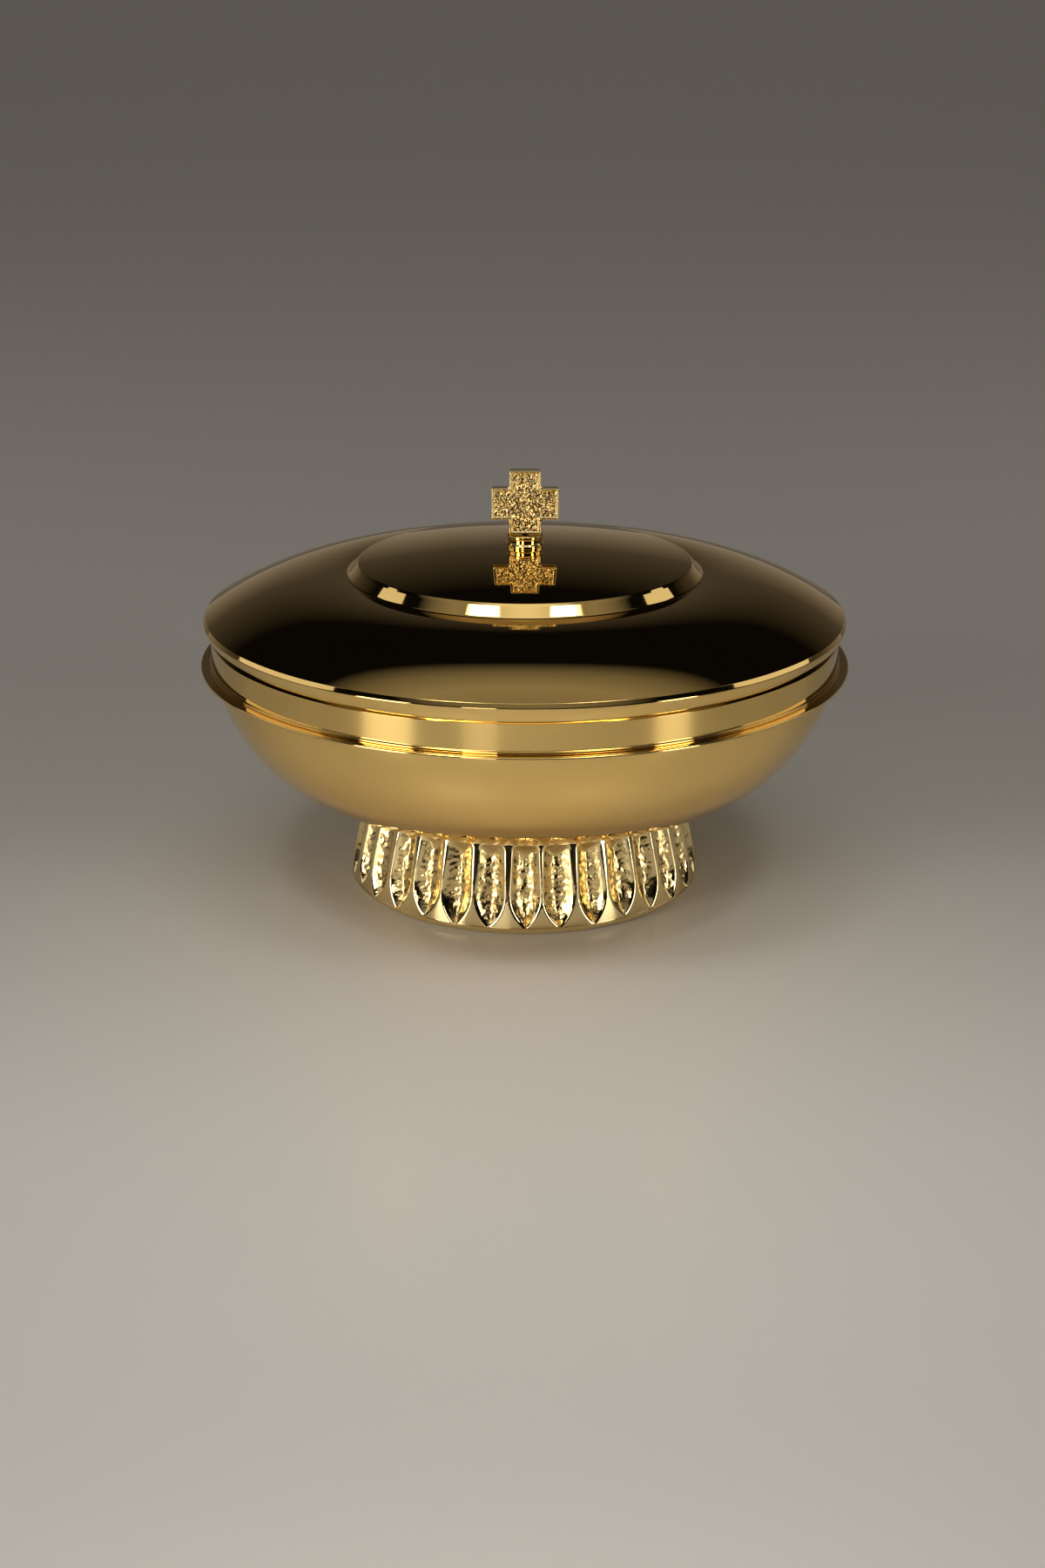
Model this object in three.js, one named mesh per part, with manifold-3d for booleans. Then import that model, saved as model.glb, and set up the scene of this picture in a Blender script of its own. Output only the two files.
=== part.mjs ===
import * as THREE from 'three';
import { mergeVertices } from 'three/addons/utils/BufferGeometryUtils.js';
import { ConvexGeometry } from 'three/addons/geometries/ConvexGeometry.js';
import Module from 'manifold-3d';

// Covered ciborium in gilt brass: a cast fluted foot, a wide spun bowl and a lid with a cross.
// Millimetres, +Z up, origin in the middle of the resting face, the cross faces -Y.

const wasm = await Module();
wasm.setup();

// Shared sizes
const ROUND_STEPS = 60;
const SMALL_STEPS = 24;
const SHEET = 1.2;
const FIT_GAP = 0.3;
const THREAD_TAIL = 1.2;

// Cast foot
const FOOT_STEPS = 64;
const FOOT_SECTIONS = 4;
const FOOT_HEIGHT = 21.5;
const FOOT_TOP_R = 37.7;
const FOOT_SPREAD = 4.2;
const FOOT_FLARE = 1.35;
const FOOT_EDGE = 1.2;
const FOOT_TREAD_INSET = 1.4;
const FOOT_ROUND = 0.9;
const FOOT_WALL = 4.6;
const FOOT_WEB = 4.4;
const FOOT_COVE_RUN = 5.0;
const FOOT_COVE_DROP = 8.8;
const SEAT_RISE = 0.8;
const SEAT_R = 23.5;

// Flutes cut round the foot
const FLUTE_COUNT = 32;
const FLUTE_LOW = 2.1;
const FLUTE_TOP_MARGIN = 1.3;
const FLUTE_RIDGE = 1.05;
const FLUTE_TOP_RIDGE = 1.9;
const FLUTE_DEPTH = 1.35;
const FLUTE_REACH = 2.0;
const FLUTE_BELLY = 0.42;
const FLUTE_TROUGH = [
  [-FLUTE_REACH, 1.0, 0],
  [0, 1.0, 0],
  [FLUTE_DEPTH * 0.75, 0.78, 0.6],
  [FLUTE_DEPTH, 0.4, 1.3],
];

// Plate that closes the foot from below
const PLATE_THICK = 2.0;
const PLATE_LEDGE = 1.6;

// Stud, washer and nut that hold the bowl on the foot
const STUD_R = 3.0;
const STUD_FLANGE_R = 9.0;
const STUD_FLANGE_THICK = 1.6;
const FOOT_WASHER_R = 8.0;
const FOOT_WASHER_THICK = 1.0;
const FOOT_NUT_FLATS = 10.0;
const FOOT_NUT_THICK = 5.0;

// Bowl
const BOWL_R = 73.0;
const BOWL_DEPTH = 31.3;
const BOWL_FLAT_MARGIN = 0.5;
const BOWL_ROUNDNESS = 3.137;
const BOWL_FULLNESS = 1.502;
const BOWL_STEPS = 12;

// Flat flange on the edge of the bowl
const RIM_THICK = 0.9;
const RIM_OVERHANG = 2.85;
const RIM_SOFT = 0.3;

// Turned band of the lid
const BAND_STEP = 0.3;
const BAND_HEIGHT = 6.5;
const BAND_WALL = 1.4;
const BEAD_OVERHANG = 0.45;
const BEAD_HEIGHT = 0.5;
const BEAD_SOFT = 0.15;
const SPIGOT_DROP = 2.6;
const SPIGOT_WALL = 1.0;
const SPIGOT_RISE = 2.2;
const SPIGOT_GAP = 0.4;

// Spun dome of the lid
const LIP_OVERHANG = 1.25;
const LIP_RISE = 2.35;
const SHOULDER_SWELL = 0.4;
const SHOULDER_RISE = 1.43;
const SHOULDER_ROUND = 0.6;
const EDGE_WALL = 2.2;
const DOME_RISE = 7.9;
const DOME_STEPS = 7;

// Raised disc in the middle of the lid
const DISC_R = 39.2;
const DISC_STEP = 3.2;
const DISC_STEP_RUN = 2.2;
const DISC_EDGE_RUN = 1.3;
const DISC_EDGE_RISE = 1.4;
const DISC_SWELL = 2.4;
const DISC_MARGIN = 1.0;
const DISC_STEPS = 5;

// Cross and its fixings
const CROSS_SPAN = 15.6;
const CROSS_ARM = 7.2;
const CROSS_STEM = 7.2;
const CROSS_THICK = 2.6;
const CROSS_BORDER = 0.55;
const CROSS_FIELD_DEPTH = 0.35;
const CROSS_SOFT = 0.3;
const COLLAR_R = 4.35;
const COLLAR_HEIGHT = 2.85;
const COLLAR_SOFT = 0.4;
const SHANK_R = 1.2;
const CROSS_WASHER_R = 4.4;
const CROSS_WASHER_THICK = 0.8;
const CROSS_NUT_FLATS = 5.5;
const CROSS_NUT_THICK = 2.4;

// Radii and levels that follow from the sizes above
const FOOT_BASE_R = FOOT_TOP_R + FOOT_SPREAD;
const FLUTE_HIGH = FOOT_HEIGHT - FLUTE_TOP_MARGIN;
const WEB_UNDER = FOOT_HEIGHT - FOOT_WEB;
const FOOT_NUT_TOP = WEB_UNDER - FOOT_WASHER_THICK;
const BOWL_BASE = FOOT_HEIGHT + SEAT_RISE;
const BOWL_FLAT_R = SEAT_R + BOWL_FLAT_MARGIN;
const BOWL_BORE = BOWL_R - SHEET;
const BOWL_TOP = BOWL_BASE + BOWL_DEPTH;
const RIM_TOP = BOWL_TOP + RIM_THICK;
const RIM_R = BOWL_R + RIM_OVERHANG;
const BAND_R = BOWL_R + BAND_STEP;
const BEAD_R = BAND_R + BEAD_OVERHANG;
const BAND_BORE = BAND_R - BAND_WALL;
const BAND_TOP = RIM_TOP + BAND_HEIGHT;
const SPIGOT_R = BOWL_BORE - SPIGOT_GAP;
const LIP_R = BAND_R + LIP_OVERHANG;
const LIP_Z = BAND_TOP + LIP_RISE;
const SHOULDER_R = LIP_R + SHOULDER_SWELL;
const SHOULDER_Z = LIP_Z + SHOULDER_RISE;
const DOME_EDGE_R = SHOULDER_R - SHOULDER_ROUND;
const DOME_EDGE_Z = SHOULDER_Z + SHOULDER_ROUND * 1.7;
const DISC_FOOT_R = DISC_R + DISC_STEP_RUN;
const DISC_FLAT_R = CROSS_WASHER_R + DISC_MARGIN;
const CREST_R = DISC_FOOT_R + 1.6;
const CREST_Z = DOME_EDGE_Z + DOME_RISE;
const DISC_Z = CREST_Z + DISC_STEP;
const DISC_CROWN_R = DISC_R - DISC_EDGE_RUN;
const DISC_CROWN_Z = DISC_Z + DISC_EDGE_RISE;
const DISC_TOP = DISC_CROWN_Z + DISC_SWELL;
const LID_UNDER = DISC_TOP - SHEET;
const CROSS_NUT_TOP = LID_UNDER - CROSS_WASHER_THICK;
const COLLAR_TOP = DISC_TOP + COLLAR_HEIGHT;
const CROSS_MIDDLE = COLLAR_TOP + CROSS_STEM;

const polished = new THREE.MeshStandardMaterial({ color: 0xd9b56c, roughness: 0.1, metalness: 1 });
const cast = new THREE.MeshStandardMaterial({ color: 0xd2a955, roughness: 0.32, metalness: 1 });
const turned = new THREE.MeshStandardMaterial({ color: 0xc39a4e, roughness: 0.25, metalness: 1 });

// Turns a closed [radius, height] loop, listed counter-clockwise, about Z.
function revolve(loop, steps = ROUND_STEPS) {
  const points = loop.map(([r, z]) => new THREE.Vector2(r, z));
  points.push(points[0].clone());
  const geometry = new THREE.LatheGeometry(points, steps);
  geometry.rotateX(Math.PI / 2);
  return weld(geometry);
}

// Keeps only the positions and merges the vertices that lie on each other.
function weld(geometry) {
  geometry.deleteAttribute('normal');
  geometry.deleteAttribute('uv');
  return mergeVertices(geometry, 1e-4);
}

// Wraps a closed geometry as a solid that can be joined or cut.
function toSolid(geometry) {
  const vertProperties = new Float32Array(geometry.attributes.position.array);
  const triVerts = new Uint32Array(geometry.index.array);
  return new wasm.Manifold(new wasm.Mesh({ numProp: 3, vertProperties, triVerts }));
}

// Turns a joined or cut solid back into a geometry.
function toGeometry(solid) {
  const mesh = solid.getMesh();
  const geometry = new THREE.BufferGeometry();
  geometry.setAttribute('position', new THREE.BufferAttribute(mesh.vertProperties, 3));
  geometry.setIndex(new THREE.BufferAttribute(mesh.triVerts, 1));
  return geometry;
}

// Moves each point of an open profile sideways by the sheet's thickness.
function offsetProfile(profile, thickness) {
  return profile.map((point, i) => {
    const before = profile[Math.max(i - 1, 0)];
    const after = profile[Math.min(i + 1, profile.length - 1)];
    const run = after[0] - before[0];
    const rise = after[1] - before[1];
    const length = Math.hypot(run, rise);
    return [point[0] - (thickness * rise) / length, point[1] + (thickness * run) / length];
  });
}

// The inside of a sheet is plain enough for half the points, the last one kept.
function everySecond(profile) {
  return profile.filter((point, i) => (profile.length - 1 - i) % 2 === 0);
}

// Points on a quarter of an ellipse in a [radius, height] profile, between two angles.
function arc([r, z], [run, rise], from, to, steps) {
  const points = [];
  for (let i = 0; i <= steps; i += 1) {
    const angle = ((from + ((to - from) * i) / steps) * Math.PI) / 180;
    points.push([r + run * Math.cos(angle), z + rise * Math.sin(angle)]);
  }
  return points;
}

function place(name, geometry, material) {
  const mesh = new THREE.Mesh(geometry, material);
  mesh.name = name;
  return mesh;
}

// Radius of the foot's outside at a height, flaring towards the table.
function footRadius(z) {
  const t = 1 - z / FOOT_HEIGHT;
  return FOOT_TOP_R + (FOOT_BASE_R - FOOT_TOP_R) * (1 - (1 - t) ** FOOT_FLARE);
}

// Half of the room between two ridges of a given width, where the foot has radius r.
function fluteHalf(r, ridge) {
  return r * Math.sin(Math.PI / FLUTE_COUNT) - ridge / 2;
}

// Outline of one flute, seen from outside: squared at the top and pointed at the bottom.
function fluteOutline(length) {
  const half = fluteHalf(footRadius(FLUTE_LOW + FLUTE_BELLY * length), FLUTE_RIDGE);
  const topHalf = fluteHalf(footRadius(FLUTE_HIGH), FLUTE_TOP_RIDGE);
  const shape = new THREE.Shape();
  shape.moveTo(0, 0);
  shape.quadraticCurveTo(half, length * 0.16, half, length * FLUTE_BELLY);
  shape.lineTo(topHalf, length * 0.95);
  shape.lineTo(topHalf * 0.7, length);
  shape.lineTo(-topHalf * 0.7, length);
  shape.lineTo(-topHalf, length * 0.95);
  shape.lineTo(-half, length * FLUTE_BELLY);
  shape.quadraticCurveTo(-half, length * 0.16, 0, 0);
  return shape.getPoints(2).slice(1);
}

// Cutter for the flute that faces -Y, hollowed like a trough and leaning with the foot's side.
function fluteCutter() {
  const lowR = footRadius(FLUTE_LOW);
  const highR = footRadius(FLUTE_HIGH);
  const lean = Math.atan2(lowR - highR, FLUTE_HIGH - FLUTE_LOW);
  const length = Math.hypot(lowR - highR, FLUTE_HIGH - FLUTE_LOW);
  const outline = fluteOutline(length);
  const points = [];
  for (const [depth, width, inset] of FLUTE_TROUGH) {
    for (const point of outline) {
      const up = inset + point.y * (1 - (2 * inset) / length);
      points.push(new THREE.Vector3(point.x * width, depth, up));
    }
  }
  const geometry = new ConvexGeometry(points);
  geometry.rotateX(-lean);
  geometry.translate(0, -lowR, FLUTE_LOW);
  return toSolid(weld(geometry));
}

function footBlank() {
  const sideTop = FOOT_HEIGHT - FOOT_ROUND;
  const side = [];
  for (let i = 0; i <= FOOT_SECTIONS; i += 1) {
    const z = FOOT_EDGE + ((sideTop - FOOT_EDGE) * i) / FOOT_SECTIONS;
    side.push([footRadius(z), z]);
  }
  const boreR = STUD_R + FIT_GAP;
  const wellR = STUD_FLANGE_R + FIT_GAP;
  const wellFloor = BOWL_BASE - STUD_FLANGE_THICK - FIT_GAP;
  const hollowR = FOOT_BASE_R - FOOT_WALL;
  const ledgeR = hollowR + PLATE_LEDGE;
  const coveCentre = [hollowR - FOOT_COVE_RUN, WEB_UNDER - FOOT_COVE_DROP];
  return revolve([
    [FOOT_BASE_R - FOOT_TREAD_INSET, 0],
    ...side,
    [FOOT_TOP_R - FOOT_ROUND, FOOT_HEIGHT],
    [SEAT_R + SEAT_RISE, FOOT_HEIGHT],
    [SEAT_R, BOWL_BASE],
    [wellR, BOWL_BASE],
    [wellR, wellFloor],
    [boreR, wellFloor],
    [boreR, WEB_UNDER],
    ...arc(coveCentre, [FOOT_COVE_RUN, FOOT_COVE_DROP], 90, 0, 3),
    [hollowR, PLATE_THICK],
    [ledgeR, PLATE_THICK],
    [ledgeR, 0],
  ], FOOT_STEPS);
}

// The fluted ring is cast, so every flute leaves a smooth ridge beside it.
function makeFoot() {
  const cutter = fluteCutter();
  const cutters = [];
  for (let i = 0; i < FLUTE_COUNT; i += 1) {
    cutters.push(cutter.rotate([0, 0, (i * 360) / FLUTE_COUNT]));
  }
  const flutes = wasm.Manifold.union(cutters);
  return place('foot_fluted_ring', toGeometry(toSolid(footBlank()).subtract(flutes)), cast);
}

function makeBasePlate() {
  const r = FOOT_BASE_R - FOOT_WALL + PLATE_LEDGE - FIT_GAP;
  const plate = new THREE.CylinderGeometry(r, r, PLATE_THICK, ROUND_STEPS);
  plate.rotateX(Math.PI / 2);
  plate.translate(0, 0, PLATE_THICK / 2);
  return place('foot_base_plate', weld(plate), turned);
}

function makeBowlStud() {
  const under = BOWL_BASE - STUD_FLANGE_THICK;
  const tail = FOOT_NUT_TOP - FOOT_NUT_THICK - THREAD_TAIL;
  return place('bowl_stud', revolve([
    [0, tail],
    [STUD_R, tail],
    [STUD_R, under],
    [STUD_FLANGE_R, under],
    [STUD_FLANGE_R, BOWL_BASE],
    [0, BOWL_BASE],
  ], SMALL_STEPS), turned);
}

function makeWasher(name, boreR, outerR, top, thick) {
  return place(name, revolve([
    [boreR, top - thick],
    [outerR, top - thick],
    [outerR, top],
    [boreR, top],
  ], SMALL_STEPS), turned);
}

function makeHexNut(name, boreR, flats, top, thick) {
  const corner = flats / Math.sqrt(3);
  const shape = new THREE.Shape();
  for (let i = 0; i < 6; i += 1) {
    const angle = (i * Math.PI) / 3;
    shape[i ? 'lineTo' : 'moveTo'](corner * Math.cos(angle), corner * Math.sin(angle));
  }
  shape.closePath();
  shape.holes.push(new THREE.Path().absarc(0, 0, boreR, 0, Math.PI * 2, true));
  const geometry = new THREE.ExtrudeGeometry(shape, {
    depth: thick,
    bevelEnabled: false,
    curveSegments: SMALL_STEPS,
  });
  geometry.translate(0, 0, top - thick);
  return place(name, weld(geometry), turned);
}

// Outside of the bowl from the edge of its flat bottom up to its rim.
function bowlProfile() {
  const profile = [];
  for (let i = 0; i <= BOWL_STEPS; i += 1) {
    const angle = (i / BOWL_STEPS) * (Math.PI / 2);
    const out = Math.sin(angle) ** (2 / BOWL_ROUNDNESS);
    const up = 1 - Math.cos(angle) ** (2 / BOWL_FULLNESS);
    const r = BOWL_FLAT_R + (BOWL_R - BOWL_FLAT_R) * out;
    profile.push([r, BOWL_BASE + BOWL_DEPTH * up]);
  }
  return profile;
}

function makeBowl() {
  const outer = bowlProfile();
  const inner = everySecond(offsetProfile(outer, SHEET)).slice(1, -1);
  return place('bowl_shell', revolve([
    [0, BOWL_BASE],
    ...outer,
    [BOWL_BORE, BOWL_TOP],
    ...inner.reverse(),
    [0, BOWL_BASE + SHEET],
  ]), polished);
}

function makeRimRing() {
  return place('bowl_rim_ring', revolve([
    [BOWL_BORE, BOWL_TOP],
    [RIM_R - RIM_SOFT, BOWL_TOP],
    [RIM_R, BOWL_TOP + RIM_SOFT],
    [RIM_R, RIM_TOP - RIM_SOFT],
    [RIM_R - RIM_SOFT, RIM_TOP],
    [BOWL_BORE, RIM_TOP],
  ]), polished);
}

// The band rests on the rim ring and its spigot drops inside the bowl to centre the lid.
function makeBand() {
  const beadTop = RIM_TOP + BEAD_HEIGHT;
  const spigotBore = SPIGOT_R - SPIGOT_WALL;
  return place('lid_band', revolve([
    [spigotBore, RIM_TOP - SPIGOT_DROP],
    [SPIGOT_R, RIM_TOP - SPIGOT_DROP],
    [SPIGOT_R, RIM_TOP],
    [BEAD_R - BEAD_SOFT, RIM_TOP],
    [BEAD_R, RIM_TOP + BEAD_SOFT],
    [BEAD_R - BEAD_SOFT, beadTop],
    [BAND_R, beadTop + BEAD_SOFT],
    [BAND_R, BAND_TOP],
    [BAND_BORE, BAND_TOP],
    [BAND_BORE, RIM_TOP + SPIGOT_RISE],
    [spigotBore, RIM_TOP + SPIGOT_RISE],
  ]), polished);
}

// Outside of the lid's sheet: a round slope, level at its crest, a step and a disc with a round edge.
function domeProfile() {
  const run = DOME_EDGE_R - CREST_R;
  const arcR = (run ** 2 + DOME_RISE ** 2) / (2 * DOME_RISE);
  const profile = [];
  for (let i = 0; i <= DOME_STEPS; i += 1) {
    const r = DOME_EDGE_R + ((DISC_FOOT_R - DOME_EDGE_R) * i) / DOME_STEPS;
    profile.push([r, CREST_Z - arcR + Math.sqrt(arcR ** 2 - (r - CREST_R) ** 2)]);
  }
  profile.push([DISC_FOOT_R - DISC_STEP_RUN * 0.4, CREST_Z + DISC_STEP * 0.18]);
  profile.push([DISC_R + DISC_STEP_RUN * 0.23, DISC_Z - DISC_STEP * 0.25]);
  profile.push([DISC_R, DISC_Z]);
  profile.push([DISC_R - DISC_EDGE_RUN * 0.35, DISC_Z + DISC_EDGE_RISE * 0.6]);
  for (let i = 0; i <= DISC_STEPS; i += 1) {
    const r = DISC_CROWN_R - ((DISC_CROWN_R - DISC_FLAT_R) * i) / DISC_STEPS;
    const fall = (r ** 2 - DISC_FLAT_R ** 2) / (DISC_CROWN_R ** 2 - DISC_FLAT_R ** 2);
    profile.push([r, DISC_TOP - DISC_SWELL * fall]);
  }
  return profile;
}

function makeDome() {
  const outer = domeProfile();
  const inner = everySecond(offsetProfile(outer, SHEET));
  const boreR = SHANK_R + FIT_GAP;
  return place('lid_dome', revolve([
    [BAND_BORE, BAND_TOP],
    [BAND_R, BAND_TOP],
    [LIP_R, LIP_Z],
    [SHOULDER_R, SHOULDER_Z],
    ...outer,
    [boreR, DISC_TOP],
    [boreR, LID_UNDER],
    ...inner.reverse(),
    [SHOULDER_R - EDGE_WALL, SHOULDER_Z - EDGE_WALL / 2],
  ]), polished);
}

function makeCollar() {
  const boreR = SHANK_R + FIT_GAP;
  return place('cross_collar', revolve([
    [boreR, DISC_TOP],
    [COLLAR_R, DISC_TOP],
    [COLLAR_R, COLLAR_TOP - COLLAR_SOFT],
    [COLLAR_R - COLLAR_SOFT, COLLAR_TOP],
    [boreR, COLLAR_TOP],
  ], SMALL_STEPS), polished);
}

// Outline of the cross as a path, drawn in by an inset from its edge.
function crossShape(inset) {
  const half = CROSS_SPAN / 2 - inset;
  const arm = CROSS_ARM / 2 - inset;
  const low = inset - CROSS_STEM;
  const corners = [
    [-arm, low], [arm, low], [arm, -arm], [half, -arm], [half, arm], [arm, arm],
    [arm, half], [-arm, half], [-arm, arm], [-half, arm], [-half, -arm], [-arm, -arm],
  ];
  return new THREE.Shape(corners.map(([x, y]) => new THREE.Vector2(x, y)));
}

function crossSlab(inset, thick, front, bevel) {
  const geometry = new THREE.ExtrudeGeometry(crossShape(inset), {
    depth: thick - 2 * bevel,
    bevelEnabled: bevel > 0,
    bevelThickness: bevel,
    bevelSize: bevel,
    bevelOffset: -bevel,
    bevelSegments: 1,
  });
  geometry.rotateX(Math.PI / 2);
  geometry.translate(0, front + thick - bevel, CROSS_MIDDLE);
  return toSolid(weld(geometry));
}

// Equal-armed cross with a raised border round a sunk field on both faces, and a shank below.
function makeCross() {
  const front = -CROSS_THICK / 2;
  const body = crossSlab(0, CROSS_THICK, front, CROSS_SOFT);
  const sink = CROSS_FIELD_DEPTH + 1;
  const frontField = crossSlab(CROSS_BORDER, sink, front - 1, 0);
  const backField = crossSlab(CROSS_BORDER, sink, -front - CROSS_FIELD_DEPTH, 0);
  const tail = CROSS_NUT_TOP - CROSS_NUT_THICK - THREAD_TAIL;
  const shankTop = COLLAR_TOP + 1;
  const shank = new THREE.CylinderGeometry(SHANK_R, SHANK_R, shankTop - tail, SMALL_STEPS);
  shank.rotateX(Math.PI / 2);
  shank.translate(0, 0, (shankTop + tail) / 2);
  const solid = body.subtract(frontField).subtract(backField).add(toSolid(weld(shank)));
  return place('cross', toGeometry(solid), cast);
}

const ciborium = new THREE.Group();
const boreForStud = STUD_R + FIT_GAP;
const boreForShank = SHANK_R + FIT_GAP;

ciborium.add(makeFoot());
ciborium.add(makeBasePlate());
ciborium.add(makeWasher('foot_washer', boreForStud, FOOT_WASHER_R, WEB_UNDER, FOOT_WASHER_THICK));
ciborium.add(makeHexNut('foot_nut', boreForStud, FOOT_NUT_FLATS, FOOT_NUT_TOP, FOOT_NUT_THICK));
ciborium.add(makeBowlStud());
ciborium.add(makeBowl());
ciborium.add(makeRimRing());
ciborium.add(makeBand());
ciborium.add(makeDome());
ciborium.add(makeCollar());
ciborium.add(makeCross());
ciborium.add(makeWasher('cross_washer', boreForShank, CROSS_WASHER_R, LID_UNDER, CROSS_WASHER_THICK));
ciborium.add(makeHexNut('cross_nut', boreForShank, CROSS_NUT_FLATS, CROSS_NUT_TOP, CROSS_NUT_THICK));

export default ciborium;
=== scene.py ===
import math
import bmesh
import bpy
import numpy as np
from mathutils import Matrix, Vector


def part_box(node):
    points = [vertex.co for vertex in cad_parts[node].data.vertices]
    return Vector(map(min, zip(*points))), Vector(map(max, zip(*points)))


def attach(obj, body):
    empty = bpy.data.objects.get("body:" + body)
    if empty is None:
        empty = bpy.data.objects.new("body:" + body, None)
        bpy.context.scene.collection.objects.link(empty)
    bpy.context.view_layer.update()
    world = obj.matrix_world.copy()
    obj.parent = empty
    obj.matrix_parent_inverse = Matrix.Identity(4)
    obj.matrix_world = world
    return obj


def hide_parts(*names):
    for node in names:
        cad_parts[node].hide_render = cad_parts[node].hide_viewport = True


# Covered ciborium in gilt brass. The frame says where each piece goes, and its fine surfaces are worked
# out here.
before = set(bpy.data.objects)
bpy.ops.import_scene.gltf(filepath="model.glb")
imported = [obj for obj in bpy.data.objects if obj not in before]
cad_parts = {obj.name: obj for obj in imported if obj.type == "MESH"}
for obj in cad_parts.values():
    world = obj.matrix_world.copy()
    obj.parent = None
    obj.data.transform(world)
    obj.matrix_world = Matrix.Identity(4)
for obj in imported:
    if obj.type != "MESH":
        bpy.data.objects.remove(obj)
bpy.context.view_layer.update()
mm = 0.001
nearlyZero = 1e-9
print("frame loaded:", len(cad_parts), "nodes")


# An sRGB hex colour such as "#e9c27c" as the linear values that the shaders take.
def linear(hexColour):
    parts = [int(hexColour[i:i + 2], 16) / 255 for i in (1, 3, 5)]
    return [c / 12.92 if c <= 0.04045 else ((c + 0.055) / 1.055) ** 2.4 for c in parts] + [1.0]


# Adds a node, sets its properties or its sockets, and links outputs of other nodes to its sockets.
def addNode(tree, kind, settings=None, links=None):
    node = tree.nodes.new(kind)
    for key, value in (settings or {}).items():
        if isinstance(key, str) and hasattr(node, key):
            setattr(node, key, value)
        else:
            node.inputs[key].default_value = value
    for key, source in (links or {}).items():
        tree.links.new(source, node.inputs[key])
    return node


def emptyMaterial(name):
    material = bpy.data.materials.new(name)
    material.use_nodes = True
    material.node_tree.nodes.clear()
    return material, material.node_tree


# Lowest and highest radius and height of a CAD node in millimetres.
def sizeOf(node):
    low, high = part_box(node)
    return {"radius": high.x / mm, "bottom": low.z / mm, "top": high.z / mm}


# Cuts each corner (radius, height, rounding) of an outline by an arc tangent to both its sides. Points
# close to the arc's ends, or on both sides of a sharp corner, keep the smooth shading off the long
# straight stretches.
def rounded(corners, arcSteps=8, keep=0.06, sharpTurn=0.35):
    points = []
    count = len(corners)
    for i, (r, z, rounding) in enumerate(corners):
        here = np.array([r, z])
        before = np.array(corners[i - 1][:2])
        after = np.array(corners[(i + 1) % count][:2])
        inDir = (here - before) / np.linalg.norm(here - before)
        outDir = (after - here) / np.linalg.norm(after - here)
        turn = math.acos(np.clip(inDir @ outDir, -1, 1))
        if rounding == 0:
            points += [here - inDir * keep, here, here + outDir * keep] if turn > sharpTurn else [here]
            continue
        side = (outDir - inDir * math.cos(turn)) / math.sin(turn)
        start = here - inDir * rounding * math.tan(turn / 2)
        end = here + outDir * rounding * math.tan(turn / 2)
        points.append(start - inDir * keep)
        for step in range(arcSteps + 1):
            angle = turn * step / arcSteps
            points.append(start + rounding * (math.sin(angle) * inDir + (1 - math.cos(angle)) * side))
        points.append(end + outDir * keep)
    return np.array(points)


# The same line with points at even spacing along it.
def evenly(points, count):
    steps = np.linalg.norm(np.diff(points, axis=0), axis=1)
    run = np.concatenate([[0], np.cumsum(steps)])
    at = np.linspace(0, run[-1], count)
    return np.stack([np.interp(at, run, points[:, k]) for k in range(2)], 1)


# Moves each point of a line sideways, to the left of its direction, by a sheet's thickness.
def sideways(points, thickness):
    run = np.gradient(points, axis=0)
    run /= np.linalg.norm(run, axis=1)[:, None]
    return points + thickness * np.stack([-run[:, 1], run[:, 0]], 1)


# Faces of a grid of points, rows along an outline and columns round it. The columns close on themselves,
# and so do the rows unless the patch is open. A row that shrinks to a point is one vertex, and its faces
# are triangles.
def patch(grid, values=None, closed=True):
    rows, columns = grid.shape[:2]
    index = np.arange(rows * columns).reshape(rows, columns)
    onAxis = np.ptp(grid, axis=1).max(axis=1) < nearlyZero
    index[onAxis] = index[onAxis][:, :1]
    right = np.roll(index, -1, axis=1)
    quads = np.stack([index, right, np.roll(right, -1, axis=0), np.roll(index, -1, axis=0)], -1)
    poleAbove = np.roll(onAxis, -1)
    last = len(quads) if closed else len(quads) - 1
    whole = quads[:last][~(onAxis | poleAbove)[:last]].reshape(-1, 4)
    fromPole = quads[:last][(onAxis & ~poleAbove)[:last]].reshape(-1, 4)[:, [0, 2, 3]]
    toPole = quads[:last][(~onAxis & poleAbove)[:last]].reshape(-1, 4)[:, [0, 1, 2]]
    return grid.reshape(-1, 3), whole, np.concatenate([fromPole, toPole]), values or {}


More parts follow.
